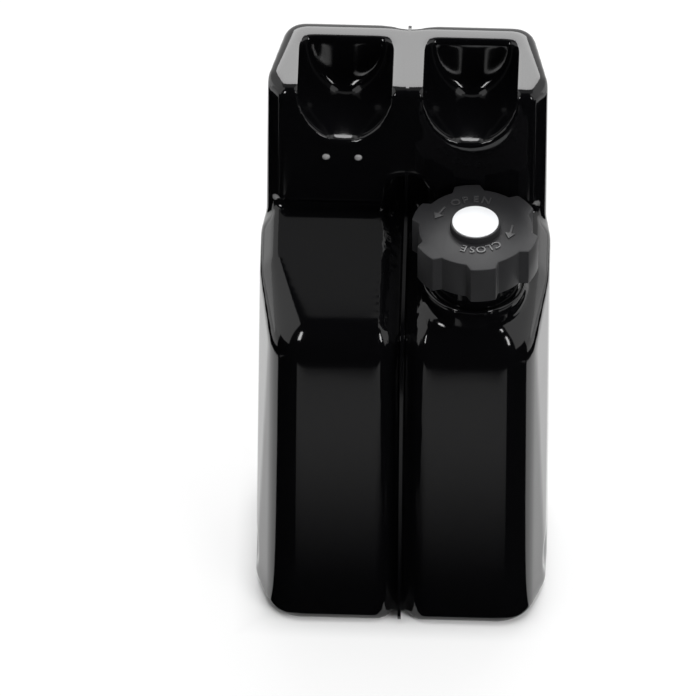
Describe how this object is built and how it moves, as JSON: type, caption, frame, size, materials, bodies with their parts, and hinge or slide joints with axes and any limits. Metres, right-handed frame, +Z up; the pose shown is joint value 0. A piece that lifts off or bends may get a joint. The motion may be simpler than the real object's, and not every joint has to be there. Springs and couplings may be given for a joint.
{
  "type": "fuel canister",
  "caption": "Upright blow-moulded plastic fuel canister with hand troughs over a sloping shoulder and a lobed screw cap.",
  "frame": {"origin": "middle of the footprint on the ground", "axes": "+Z up, -Y out of the front face, +X to the side of the filler neck"},
  "size_m": [0.18, 0.15, 0.37],
  "materials": {
    "shell": "glossy blown polyethylene",
    "cap": "fine satin grain",
    "badge": "smooth white",
    "seal": "matt",
    "stud": "light grey"
  },
  "bodies": {
    "root": {"can_body": "shell", "front_studs": "stud"},
    "seal": {"cap_seal": "seal"},
    "cap": {"cap_shell": "cap", "cap_badge": "badge"}
  },
  "joints": [
    {"name": "cap_turn", "type": "hinge", "parent": "seal", "child": "cap", "pos_m": [0.044, -0.035, 0.284], "axis": [0, 0, 1], "range_deg": [0, 1080]},
    {"name": "cap_lift", "type": "slide", "parent": "root", "child": "seal", "axis": [0, 0, 1], "range_m": [0, 0.018]}
  ],
  "couplings": [
    {"joint": "cap_lift", "follows": "cap_turn", "m_per_rad": 0.00095493}
  ]
}
